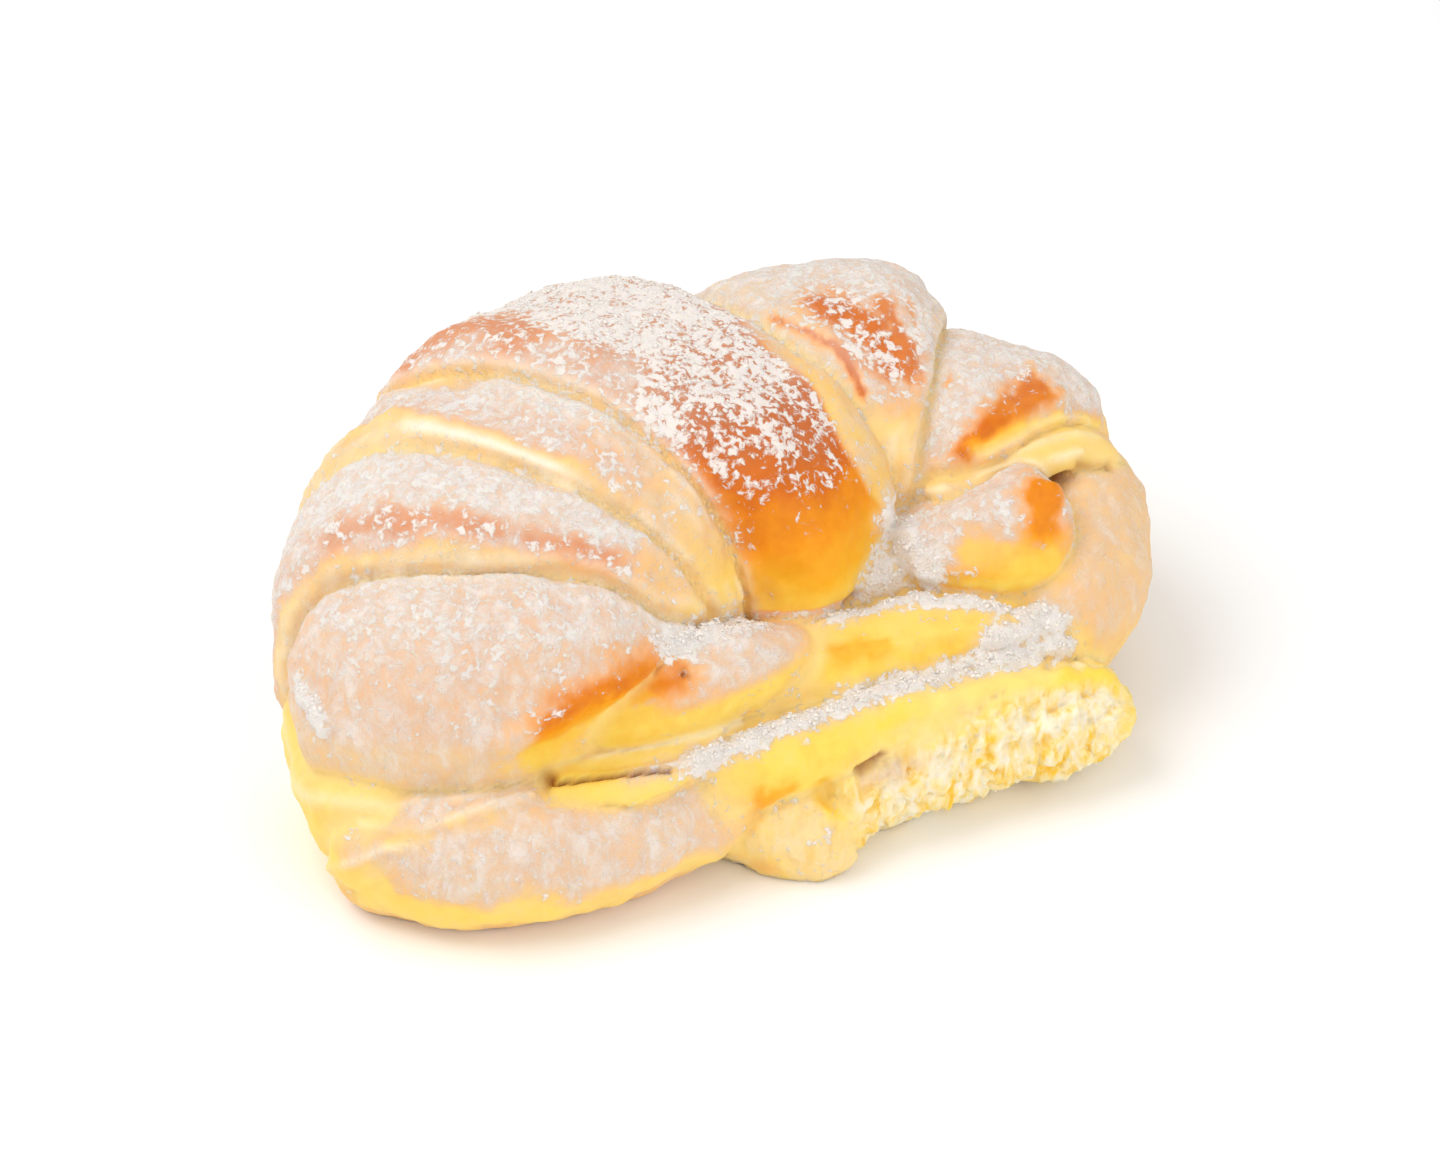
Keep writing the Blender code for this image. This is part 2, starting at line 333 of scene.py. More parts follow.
# Ridges and dents of the dough that cross a lobe: a line of places, how wide and how high they are,
# in millimetres
RIDGES = (
    (((-47, -24, 30), (-43.2, -24.7, 31.6), (-35.4, -24.9, 33.7), (-25.3, -23.5, 33.8),
      (-20, -22, 33)), 2.2, 1.3),
    (((-44, -26, 26.5), (-34, -27, 28.5), (-25, -26, 29.5)), 2.4, -1.1),
    (((30, -17, 36.5), (35.8, -18.5, 38.6), (41.3, -19.5, 41.2), (44, -21, 39.4), (44, -24, 35)),
      1.7, 1.3),
    (((33, -21.5, 35), (39, -24, 33.5)), 3.0, -1.0),
    (((11, -34.5, 20.6), (17.4, -35.2, 20.9), (26.9, -36.4, 20.3), (36.5, -37.4, 18.8),
      (45, -39, 16)), 1.9, 1.5),
    (((33, -8.5, 41), (39.1, -8.4, 43.5), (44.5, -8, 44.6), (50.9, -6, 44.6), (56, -5, 43)),
      1.6, 0.9),
    (((31, -10.5, 40.2), (36, -12, 41), (44.4, -11.4, 40.6), (51.6, -11, 40.8),
      (58.3, -11.6, 39.2)), 1.1, 0.8),
    (((31, -13.5, 39.6), (38, -14.5, 40), (46, -14, 39.6), (53, -14, 38.8)), 0.9, 0.7),
    (((-38, -24.5, 22.6), (-32, -26, 23), (-25, -27, 23), (-18, -28.5, 22.9),
      (-11.5, -27.8, 22.5)), 0.8, 0.8),
    (((-36, -27, 22.6), (-30, -28.7, 22.6), (-22, -30.5, 22.6), (-15, -30.5, 22.4)), 0.7, -0.9),
    (((-67.5, -19, 19), (-62, -24, 19.8), (-56, -26, 20.9), (-50, -26.8, 21.4),
      (-44.6, -27, 21.6)), 0.9, 0.9),
    (((-70.5, -15, 9), (-69.5, -19, 13), (-65.5, -22.3, 16.4), (-58, -26.5, 18.2),
      (-51, -29, 18.4)), 0.9, 0.8),
    (((-69, -18, 6), (-66, -22.5, 10.5), (-60, -27, 13.5)), 1.0, -0.9),
    (((4, -25.5, 27), (12, -27.5, 26.8), (20, -28, 26.4), (30, -29, 25.8), (38, -29.6, 24.8)),
      1.3, 0.8),
    (((10, -30.2, 23), (18, -30.8, 23), (28, -31, 23), (37, -31.8, 22.4)), 1.2, -0.8),
    (((-12, -22, 33), (-8.6, -22.3, 32.6), (-3, -22, 30), (2, -21, 28.5)), 2.0, 0.6),
    (((-4, -13.6, 40), (-2.5, -14, 35), (0, -14.5, 31)), 1.0, -0.7),
    (((-40.7, 14.8, 55.5), (-35.3, 9.4, 56.4), (-30.4, 3.3, 55.8), (-25.1, -3.4, 52.4)), 0.7, 0.6),
    (((-9.5, -36, 13), (-9.9, -38, 9), (-9.2, -40, 4)), 0.8, -0.9),
    (((-3, -37, 14), (-2.4, -39.5, 10), (-2.5, -40, 5)), 1.6, -1.5),
    (((1, -38, 13.5), (1.5, -40, 9), (0, -40, 4)), 1.2, 0.8),
)

# Painted shade in the narrow gaps between folds, where the dough is also cut in: a line of places
# and its width in millimetres
CLEFTS = (
    (((0.5, -15, 26), (4, -15.8, 26.8), (8.1, -16.3, 27.6), (14.6, -16.6, 28.2)), 0.6),
    (((-3.2, -14.3, 34.5), (-1, -14.8, 30)), 0.45),
    (((-43, -26.8, 22.8), (-40, -28, 22.9), (-32, -29.9, 22.3), (-25, -32, 22)), 0.45),
    (((-42, -26.5, 23), (-41, -26.7, 23)), 1.0),
    (((-33, -24.6, 23), (-27, -25.8, 23.3)), 0.45),
    (((-19, -24.8, 32), (-18.4, -25.2, 31.4)), 0.4),
    (((2.5, -38.6, 15.5), (6, -38.8, 17)), 0.8),
    (((52.5, -14.8, 37.6), (57.4, -15.6, 35.8)), 0.8),
)

# Browned, bare and dusted places, and brown painted shade down the crease beside the torn lobe: a
# line of places, its radius, how strongly it is laid, and the bake, veil, fleck and crumb that it
# lays, with None for one that it leaves
STREAKS = (
    (((-32, 36, 53.5), (-27.8, 35.7, 56), (-21, 31, 59.5), (-20, 25, 60)),
      4.2, 0.9, 0.84, 0.3, 0.4),
    (((-58.4, 7.6, 48), (-52, 4, 52.3), (-45.8, 0, 53.4), (-39, -5, 51.6)),
      1.7, 0.6, 0.85, 0.3, 0.4),
    (((-31, -9.5, 48.8), (-25, -12.5, 45.5)), 2.4, 0.6, 0.72, 0.3),
    (((18.5, 17.5, 55.9), (21.5, 11.5, 55.2), (23.6, 7.2, 54), (24.4, 1.3, 50.2)),
      1.0, 1.0, 0.86, 0.05, 0.12),
    (((27, 15.5, 56.8), (29.6, 9.5, 55.4), (31.4, 4, 52.6)), 4.6, 1.0, 0.82, 0.06, 0.5),
    (((34.5, 13.5, 56), (35, 8, 54.2), (32.5, 1, 50.2)), 1.6, 0.9, 0.78, 0.1, 0.36),
    (((39.2, 13, 54.3), (37.5, 7, 52.8), (33.8, 0.7, 49.3)), 0.7, 0.8, 0.7, 0.2),
    (((44, 9, 51.5), (41.5, 4, 49.5), (38.7, 0.4, 47.3)), 0.7, 0.7, 0.62, 0.2),
    (((36.5, -9, 41.8), (40, -8.2, 43.2), (45, -6.6, 45), (51.5, -5, 45)),
      2.3, 1.0, 0.74, 0.0, 0.1),
    (((46, -6, 45.4), (51.5, -4, 45.6)), 2.6, 0.9, 0.74, 0.05, 0.2),
    (((38, -9.8, 41.6), (44, -9.2, 42.6), (50, -8.2, 41.8), (57, -7, 40), (62, -4.8, 34.5)),
      1.4, 0.95, 0.24, 0.04, 0.0),
    (((41.5, -21, 40.6), (41.3, -23.2, 39), (40.6, -25, 36)), 3.0, 1.0, 0.66, 0.0, 0.12),
    (((30, -21.8, 34), (35, -24.3, 33.2), (41, -25.6, 31.5)), 2.8, 0.8, 0.28, 0.04, 0.0),
    (((-40, -25, 31), (-35, -25.2, 32.8), (-30, -24.8, 33.4), (-25.3, -24.2, 33),
      (-20.5, -23.6, 32.2)), 3.9, 1.0, 0.7, 0.0, 0.12),
    (((-41, -25.6, 29), (-34, -25.8, 30.6), (-26, -25.2, 31)), 2.2, 0.9, 0.46, 0.0, 0.0),
    (((-42.5, -26, 26.6), (-34, -26.6, 28), (-25, -26, 28.6)), 2.2, 0.95, 0.26, 0.03, 0.0),
    (((-46, -27, 25), (-38, -27, 24.5), (-30, -26, 25)), 2.6, 0.9, 0.26, 0.03, 0.0),
    (((-64, -22.5, 17), (-56, -26.2, 19.4), (-46, -28.5, 19.6)), 1.4, 0.7, 0.14, 0.2, 0.0),
    (((-71, -13, 12), (-69, -19, 10), (-65, -23, 8), (-57, -29, 6.5), (-46, -33.5, 7)),
      3.4, 0.9, 0.18, 0.1, 0.0),
    (((4, -27, 25), (14, -29, 24.6), (26, -30, 24), (36, -31.5, 23.2)), 1.9, 0.9, 0.24, 0.02, 0.0),
    (((6, -25.5, 27), (12, -27, 27)), 2.2, 0.8, 0.38, 0.02, 0.0),
    (((5, -35.5, 19.5), (20, -35.4, 20.8), (32, -36.8, 19.8), (45, -39, 16)),
      1.5, 1.0, 0.2, 0.0, 0.0, 0.0),
    # Brown streaks down the crease between the lip and the torn lobe: painted shade
    (((-12.5, -35.5, 14.5), (-14, -35, 9), (-14.5, -34, 4)), 1.6, 0.9, 0.55, 0.0, None, 0.0),
    (((-8, -37, 15.5), (-11, -36.3, 14.5)), 1.3, 0.7, 0.5, 0.0, None, 0.0),
    (((-3, -38, 14), (-2.4, -39.5, 10), (-2.5, -40, 6)), 1.7, 1.0, 0.27, 0.0, None, 0.0),
    (((3.5, -38.6, 13.6), (8, -39, 14.5), (11, -39, 14)), 2.0, 0.9, 0.2, 0.85, None, 0.4),
    (((-30, -31, 22), (-20, -32, 21.8)), 2.0, 0.7, None, 0.95, 0.6),
)

# Sugar heaped in the creases and on the folds: a line of places and its radius
HEAPS = (
    (((-19.5, -20, 33.5), (-15, -20.5, 33.4), (-8.6, -19.5, 33), (-4, -18, 31)), 2.3),
    (((22.5, -11.5, 36), (23.4, -14.5, 34.4), (24.3, -17.5, 32), (24.8, -19.2, 29)), 2.1),
    (((9, -19, 28), (15, -20, 28), (22, -22, 27.8), (28, -24.5, 27.2), (35, -28, 25.6),
      (40, -29, 24.6)), 1.3),
    (((-20, -32, 21.8), (-8.6, -31.0, 22), (-0.3, -31.0, 22.2), (6.5, -31.0, 22.3),
      (13, -31.4, 22.3)), 1.7),
    (((13, -31.6, 22.3), (23, -32.4, 22.4), (32, -33.2, 21.8), (40, -33.6, 21)), 1.4),
    (((29, -30, 24), (34, -30.4, 23.6), (40, -30, 23)), 1.6),
    (((-69.8, -5, 33.6), (-69, -8, 32.6), (-68.6, -10, 30.5)), 1.6),
)


class Paint:
    """What lies on each point of the dough, in channels from 0 to 1.

    bake is how brown it is, veil an even film of sugar, fleck sugar in specks, crumb the torn
    inside, line the pale layer edges and painted highlights, groove painted light and shade in a
    crease, cleft painted shade in a dark gap, and drift heaped sugar. own holds how much of each
    point belongs to each lobe, far its distance from each lobe, and gap how much farther the second
    nearest lobe is than the nearest.
    """

    CHANNELS = ("bake", "veil", "fleck", "crumb", "line", "groove", "cleft_shade", "drift")

    def __init__(self, points, normals):
        self.points = points
        self.up, self.front = normals[:, 2], -normals[:, 1]
        self.clouds = fractal(points, 9.0)
        self.patches = fractal(points + 40.0, 4.0)
        self.grit = fractal(points + 70.0, 1.5, 2)
        self.wobble = self.clouds * 9
        for channel in self.CHANNELS:
            setattr(self, channel, np.zeros(len(points)))
        self.far = {name: lobe.distance(points) for name, lobe in LOBES.items()}
        table = np.array(list(self.far.values()))
        weights = np.exp(-np.clip(table - table.min(0), 0, 30) / LOBE_BLEND)
        self.own = dict(zip(LOBES, weights / weights.sum(0)))
        ordered = np.sort(table, axis=0)
        self.gap = np.maximum(ordered[1] - ordered[0], 0)

    def lay(self, share, bake=None, veil=None, fleck=None, crumb=None, drift=None):
        """Takes the channels given towards their values, by share."""
        given = {"bake": bake, "veil": veil, "fleck": fleck, "crumb": crumb, "drift": drift}
        for channel, value in given.items():
            if value is not None:
                setattr(self, channel, mixed(getattr(self, channel), value, share))

    def dab(self, place, radius, strength, *values, **named):
        """Lays values round a place, with a soft edge."""
        away = np.linalg.norm(self.points - np.array(place), axis=1) / radius
        self.lay(strength * np.exp(-(away**2) * 1.2), *values, **named)

    def streak(self, line, radius, strength, *values, **named):
        """Lays values along a line of places, with a ragged edge."""
        away = self.off_line(line) / (radius * (1 + 0.5 * self.patches + 0.35 * self.grit))
        self.lay(strength * np.minimum(1.35 * np.exp(-(away**2) * 1.2), 1.0), *values, **named)

    def off_line(self, line):
        """Distance to a line of places."""
        line = np.array(line, float)
        nearest = np.full(len(self.points), np.inf)
        for start, end in zip(line, line[1:]):
            run = end - start
            share = np.clip((self.points - start) @ run / (run @ run), 0, 1)
            away = np.linalg.norm(self.points - start - share[:, None] * run, axis=1)
            nearest = np.minimum(nearest, away)
        return nearest

    def between(self, first, second):
        """0 beside the first lobe and 1 beside the second."""
        near = np.maximum(self.far[first], 0.0)
        other = np.maximum(self.far[second], 0.0)
        return near / np.maximum(near + other, 0.01)


def fractal(points, size, octaves=3):
    """Cloudy noise about 0, whose blobs are size millimetres across."""
    return np.array([noise.fractal(Vector(p / size), 1.0, 2.0, octaves) for p in points])


def paint_crown(paint):
    points, own, far, lay = paint.points, paint.own, paint.far, paint.lay
    clouds, patches, wobble = paint.clouds, paint.patches, paint.wobble
    bend = LOBES["crown"].bend(points)
    crown = own["crown"]
    lay(crown, 0.95, 0.5, 0.74)
    lay(crown * fade(84, 104, bend + wobble), 1.0, 0.3, 0.64)
    lay(crown * fade(106, 128, bend + wobble), 0.95, 0.08, 0.5)
    lay(crown * fade(124, 141, bend + wobble), 0.86, 0.0, 0.42)
    lay(crown * fade(7, 3, far["left_2"] + clouds * 3) * fade(114, 128, bend), 0.7, 0.0, 0.24)
    lay(crown * fade(137, 150, bend + wobble), 0.66, 0.0, 0.08)
    lay(crown * fade(150, 164, bend), 0.44, fleck=0.0)
    lay(crown * fade(164, 180, bend), 0.26)
    lay(crown * fade(-40, -80, bend), 0.45, 0.3, 0.3)
    reach = mixed(10.0, 3.5, fade(80, 112, bend))
    side = fade(reach, reach * 0.4, far["left_2"] + clouds * 3)
    lay(crown * side * fade(118, 100, bend), 0.8, 0.8, 0.42)
    side = fade(2.0, 0.7, far["left_2"] + clouds) * fade(95, 112, bend)
    lay(crown * side * fade(138, 118, bend), 0.5, 0.3, 0.2)
    lay(crown * fade(2.2, 0.9, far["left_2"]) * fade(115, 95, bend), 0.24, 0.6, 0.2)
    side = fade(5, 1.5, far["right_2"] + clouds * 2)
    lay(crown * side * fade(150, 130, bend), 0.5, 0.85, 0.45)
    right_flank = -LOBES["crown"].place(points)[1]
    edge = mixed(0.4, 0.14, fade(118, 142, bend)) + 0.3 * fade(150, 172, bend)
    side = fade(-0.03, 0.09, right_flank + clouds * 0.05 - edge)
    lay(crown * side * fade(98, 120, bend), 0.3, 0.52 + patches * 0.3, 0.24)


def paint_left_turns(paint):
    points, own, far, lay, up = paint.points, paint.own, paint.far, paint.lay, paint.up
    clouds, patches, wobble, height = paint.clouds, paint.patches, paint.wobble, points[:, 2]
    across = paint.between("crown", "left_3") + clouds * 0.08
    band = own["left_2"]
    bend = LOBES["left_2"].bend(points)
    lay(band, 0.5, 1.0, 0.5)
    lay(band * fade(0.35, 0.55, across), 0.72, 0.88, 0.42)
    lay(band * fade(4.0, 1.5, far["crown"] + clouds * 2) * fade(80, 60, bend), 0.22, 0.4, 0.05)
    lay(band * fade(0.72, 0.82, across), 0.2, 0.42, 0.05)
    lay(band * fade(104, 128, bend + wobble), 0.32, 0.66, 0.3)
    lay(band * fade(138, 160, bend + wobble), 0.18, 0.15, 0.04)

    across = paint.between("left_2", "left_4") + clouds * 0.08
    band = own["left_3"]
    bend = LOBES["left_3"].bend(points)
    lay(band, 0.5, 1.0, 0.5)
    lay(band * fade(0.3, 0.48, across), 0.75, 0.9, 0.42)
    lay(band * bump(0.55, 0.08, across) * np.clip(0.75 + patches, 0, 1) * fade(40, 75, bend),
        0.9, 0.5, 0.38)
    lay(band * fade(0.6, 0.74, across), 0.24, 0.6, 0.15)
    lay(band * fade(126, 148, bend + wobble), 0.34, 0.55, 0.25)
    lay(band * fade(148, 168, bend + wobble), 0.18, 0.15, 0.03)

    band = own["left_4"]
    lay(band, 0.5, 0.84, 0.25)
    lay(band * fade(0.4, 0.85, up + patches * 0.2), 0.52, 0.93, 0.42)
    lay(band * fade(5, 1.5, far["left_3"]), 0.3, 0.96)
    lay(band * fade(30, 26, height + points[:, 0] * 0.04), 0.3, 0.76, 0.12)


def paint_right_turns(paint):
    points, own, lay, up = paint.points, paint.own, paint.lay, paint.up
    clouds, wobble = paint.clouds, paint.wobble
    across = paint.between("crown", "right_3") + clouds * 0.05
    band = own["right_2"]
    bend = LOBES["right_2"].bend(points)
    lay(band, 0.6, 0.92, 0.5)
    lay(band * fade(95, 72, bend + wobble), 0.5, 0.98, 0.42)
    lay(band * fade(0.36, 0.22, across), 0.25, 0.94, 0.28)
    lay(band * fade(0.8, 0.9, across), 0.3, 0.88, 0.14)
    lay(band * fade(125, 145, bend), 0.2, 0.4, 0.1)

    band = own["right_3"]
    lay(band, 0.5, 0.98, 0.42)
    lay(band * fade(0.5, -0.05, up + clouds * 0.25), 0.24, 0.3, 0.05)


def paint_folds(paint):
    """The horns' tips and wraps, the folds between them and the torn lip."""
    own, far, lay, up, height = paint.own, paint.far, paint.lay, paint.up, paint.points[:, 2]
    clouds, patches = paint.clouds, paint.patches
    lay(own["right_flap"], 0.17, 0.3, 0.05)
    lay(own["right_horn_tip"], 0.5, 0.95 * fade(0.0, 0.45, up), 0.42)
    lay(own["right_horn_tip"] * fade(0.25, -0.1, up), 0.22, 0.05, 0.0)
    lay(own["right_end_wrap"], 0.36, 0.7, 0.06)
    lay(own["right_end_wrap"] * fade(20, 12, height + clouds * 3), 0.25, 0.5, 0.03)
    lay(own["inner_floor"], 0.25, 0.9, 0.8)

    lay(own["middle_fold"], 0.21, 0.16, 0.12)
    lay(own["middle_fold"] * fade(2.5, 0.6, far["crown"]), 0.2, 0.6, 0.2)
    lay(own["lower_lip_right"], 0.2, 0.06, 0.05)
    lay(own["lower_lip_left"], 0.38, 0.88, 0.2)
    lay(own["lower_lip_left"] * fade(9.5, 6.5, height + clouds * 2), 0.2, 0.3, 0.05)
    lay(own["lower_lip_left"] * fade(4.5, 2.0, height + clouds * 2), 0.4, 0.5, 0.1)
    lay(own["left_horn_tip"], 0.4, 0.88, 0.12)
    lay(own["left_horn_tip"] * fade(29.5, 27, height), 0.2, 0.1)
    lay(own["left_layers"], 0.15, 0.06, 0.0)
    lay(own["left_end_wrap"], 0.2, 0.12, 0.04)

    torn = fade(-0.1, 0.25, paint.front) * fade(20.2, 18.8, height + patches * 1.8)
    lay(own["torn_base"], 0.2, 0.08, 0.0)
    lay(own["torn_base"] * torn, 0.08, 0.0, crumb=1.0)
    lay(own["torn_lobe"], 0.12, 0.35, crumb=0.3)


def mark_edges(paint):
    """The pale edges of the layers with painted highlights, the painted light and shade of the
    creases between the lobes, and the painted shade of the dark gaps.
    """
    own, far, clouds = paint.own, paint.far, paint.clouds
    for name, neighbour, offset, width, _, paleness in LAYER_EDGES:
        mark = own[name] * bump(offset, width, far[neighbour]) * paleness
        paint.line = np.maximum(paint.line, mark * fade(-0.4, 0.1, clouds))
    bend = LOBES["left_2"].bend(paint.points)
    # A painted highlight: a pale line along the lip of left_2 where it overhangs left_3
    shine = bump(1.5, 0.5, far["left_3"]) * fade(56, 70, bend) * fade(118, 104, bend)
    paint.line = np.maximum(paint.line, own["left_2"] * shine)
    # Thin raised ridges are painted pale along their crests: layer edges, and on the lip of left_2
    # a painted highlight
    for line, width, rise in RIDGES:
        if width < 1.2 and rise > 0:
            paint.line = np.maximum(paint.line, bump(0.0, width * 0.7, paint.off_line(line)) * 0.5)
    paint.line *= 1 - paint.drift
    # Painted light and shade along the creases between the lobes, left off where sugar heaps in
    # them
    paint.groove = bump(0.0, 0.8, paint.gap) * (1 - paint.drift)
    # Painted shade along the narrow gaps between folds
    for line, width in CLEFTS:
        paint.cleft_shade = np.maximum(paint.cleft_shade, bump(0.0, width, paint.off_line(line)))


def paint_dough(points, normals):
    paint = Paint(points, normals)
    paint.lay(1.0, 0.25, 0.2 + 0.4 * fade(-0.1, 0.7, paint.up), 0.2)
    for area in (paint_crown, paint_left_turns, paint_right_turns, paint_folds):
        area(paint)
    for line, radius, strength, *values in STREAKS:
        paint.streak(line, radius, strength, *values)
    paint.dab((-12.5, -37.5, 2.5), 3.4, 0.8, 0.45, 0.2, crumb=0.0)
    paint.dab((47, -40, 9), 6.0, 0.9, 0.26, 0.0, crumb=0.15)
    for line, radius in HEAPS:
        paint.streak(line, radius, 1.0, drift=1.0)
    paint.lay(paint.drift ** 0.6, veil=1.0, fleck=1.0, crumb=0.0)
    mark_edges(paint)
    return paint


def relief(paint, sizes):
    """How far each point of the dough stands out, in millimetres."""
    points = paint.points
    bare = 1 - paint.drift
    fine = fractal(points + 90.0, 1.8, 2)
    out = paint.clouds * sizes.lump_height + paint.patches * sizes.ripple_height
    out += fine * (0.08 + 0.12 * paint.fleck + 0.25 * paint.drift)
    crease = bump(0.0, 0.6, paint.gap) + 0.12 * bump(0.0, 2.4, paint.gap)
    out -= bare * sizes.crease_depth * crease + paint.cleft_shade * CLEFT_DEPTH
    for name, neighbour, offset, width, rise, _ in LAYER_EDGES:
        far = paint.far[neighbour]
        lip = fade(0.2, offset * 0.8, far) * fade(offset + 3.2 * width, offset, far)
        out += bare * paint.own[name] * lip * rise * (1 + paint.patches * 0.5)
    for line, width, rise in RIDGES:
        out += bare * bump(0.0, width, paint.off_line(line)) * rise * (1 + paint.patches * 0.4)
    out += sizes.heap_height * paint.drift * (1 + paint.patches * 0.6)
    # The crumb's tufts are drawn out upwards, and flatten towards the floor
    fibres = points * (1 / TUFT, 1 / TUFT, 0.5 / TUFT)
    tufts = np.array([noise.voronoi(Vector(p))[0][0] for p in fibres])
    strands = np.array([noise.fractal(Vector(p * 2.1), 0.8, 2.0, 3) for p in fibres])
    above = fade(0.3, 4.0, points[:, 2])
    out += above * paint.crumb * ((tufts - 0.45) * -1.5 + strands * 0.7 + paint.patches * 1.3 - 0.5)
    return out


def deselect_all():
    bpy.ops.object.select_all(action="DESELECT")


def activate(obj):
    deselect_all()
    obj.select_set(True)
    bpy.context.view_layer.objects.active = obj


def apply_modifier(obj, kind, **settings):
    activate(obj)
    modifier = obj.modifiers.new(kind.title(), kind)
    for name, value in settings.items():
        setattr(modifier, name, value)
    bpy.ops.object.modifier_apply(modifier=modifier.name)


def coordinates(mesh, of="co"):
    values = np.empty(len(mesh.vertices) * 3, np.float32)
    mesh.vertices.foreach_get(of, values)
    return values.reshape(-1, 3).astype(float)


def set_coordinates(mesh, points):
    mesh.vertices.foreach_set("co", points.astype(np.float32).ravel())
    mesh.update()


def to_lobes(points):
    """Points of the frame, in metres, as the lobes' millimetres."""
    return points / MM + FOOTPRINT_MIDDLE


def to_frame(points):
    return (points - FOOTPRINT_MIDDLE) * MM


def store(mesh, name, values):
    attribute = mesh.attributes.get(name) or mesh.attributes.new(name, "FLOAT", "POINT")
    attribute.data.foreach_set("value", values.astype(np.float32))


def stored(mesh, name):
    values = np.empty(len(mesh.vertices), np.float32)
    mesh.attributes[name].data.foreach_get("value", values)
    return values.astype(float)


def add_lobe(name, lobe):
    """A ball, drawn out into the lobe's shape."""
    deselect_all()
    bpy.ops.mesh.primitive_uv_sphere_add(segments=96, ring_count=80, radius=1.0)
    obj = bpy.context.object
    obj.name = name
    set_coordinates(obj.data, to_frame(lobe.shape(coordinates(obj.data))))
    return obj


def join(objects, name):
    activate(objects[0])
    for obj in objects:
        obj.select_set(True)
    bpy.ops.object.join()
    obj = bpy.context.object
    obj.name = obj.data.name = name
    return obj


def edit_all(obj):
    activate(obj)
    bpy.ops.object.mode_set(mode="EDIT")
    bpy.ops.mesh.select_all(action="SELECT")


def cut_at_floor(obj):
    edit_all(obj)
    bpy.ops.mesh.bisect(
        plane_co=(0, 0, 0), plane_no=(0, 0, 1), use_fill=True, clear_inner=True, threshold=1e-6
    )
    bpy.ops.mesh.select_all(action="SELECT")
    bpy.ops.mesh.normals_make_consistent(inside=False)
    bpy.ops.object.mode_set(mode="OBJECT")


# Points that would be levelled by less than this are left alone
LEAST_SHARE = 0.03


def fill_creases(obj, share):
    """Levels the dough by share, so that creases are rounded and heaps of sugar bridge them."""
    group = obj.vertex_groups.new(name="creases")
    for index in np.flatnonzero(share > LEAST_SHARE):
        group.add([int(index)], float(share[index]), "REPLACE")
    apply_modifier(obj, "SMOOTH", factor=1.0, iterations=14, vertex_group=group.name)
    obj.vertex_groups.clear()


def keep_largest(obj):
    """Drops the shells of sealed hollows."""
    edit_all(obj)
    bpy.ops.mesh.separate(type="LOOSE")
    bpy.ops.object.mode_set(mode="OBJECT")
    *shells, largest = sorted(bpy.context.selected_objects, key=lambda o: len(o.data.vertices))
    for shell in shells:
        bpy.data.objects.remove(shell, do_unlink=True)
    largest.name = largest.data.name = DOUGH
    return largest


# Shader nodes


def add_node(tree, kind, inputs=None, **settings):
    node = tree.nodes.new(kind)
    for name, value in settings.items():
        setattr(node, name, value)
    for name, value in (inputs or {}).items():
        if isinstance(value, bpy.types.NodeSocket):
            tree.links.new(value, node.inputs[name])
        else:
            node.inputs[name].default_value = value
    return node


def calculate(tree, operation, *values, clamp=False):
    node = add_node(
        tree, "ShaderNodeMath", dict(enumerate(values)), operation=operation, use_clamp=clamp
    )
    return node.outputs["Value"]


def times(tree, first, second, clamp=False):
    return calculate(tree, "MULTIPLY", first, second, clamp=clamp)


def times_plus(tree, first, second, added):
    return calculate(tree, "MULTIPLY_ADD", first, second, added)


def remap(tree, value, low, high, to_low=0.0, to_high=1.0):
    node = add_node(
        tree, "ShaderNodeMapRange",
        {"Value": value, "From Min": low, "From Max": high, "To Min": to_low, "To Max": to_high},
        interpolation_type="SMOOTHSTEP",
    )
    return node.outputs["Result"]


def cloud(tree, vector, scale, detail=2.0, roughness=0.5, distortion=0.0):
    inputs = {"Scale": scale, "Detail": detail, "Roughness": roughness, "Distortion": distortion}
    return add_node(tree, "ShaderNodeTexNoise", {"Vector": vector, **inputs}).outputs["Fac"]


def drawn_out(tree, vector, share):
    """Places whose patterns are drawn out upwards."""
    inputs = {"Vector": vector, "Scale": (1.0, 1.0, share)}
    return add_node(tree, "ShaderNodeMapping", inputs).outputs["Vector"]


def blend(tree, factor, first, second):
    """The first colour where factor is 0, and the second where it is 1."""
    node = add_node(tree, "ShaderNodeMix", {0: factor}, data_type="RGBA", blend_type="MIX")
    for socket, value in ((node.inputs[6], first), (node.inputs[7], second)):
        if isinstance(value, bpy.types.NodeSocket):
            tree.links.new(value, socket)
        else:
            socket.default_value = (*value, 1.0)
    return node.outputs[2]


def bump_normal(tree, height, strength):
    inputs = {"Height": height, "Strength": strength, "Distance": BUMP_REACH}
    return add_node(tree, "ShaderNodeBump", inputs).outputs["Normal"]


def ramp(tree, factor, stops):
    node = add_node(tree, "ShaderNodeValToRGB", {"Fac": factor})
    elements = node.color_ramp.elements
    while len(elements) < len(stops):
        elements.new(0.5)
    for element, (place, colour) in zip(elements, stops):
        element.position = place
        element.color = (*colour, 1.0)
    return node.outputs["Color"]


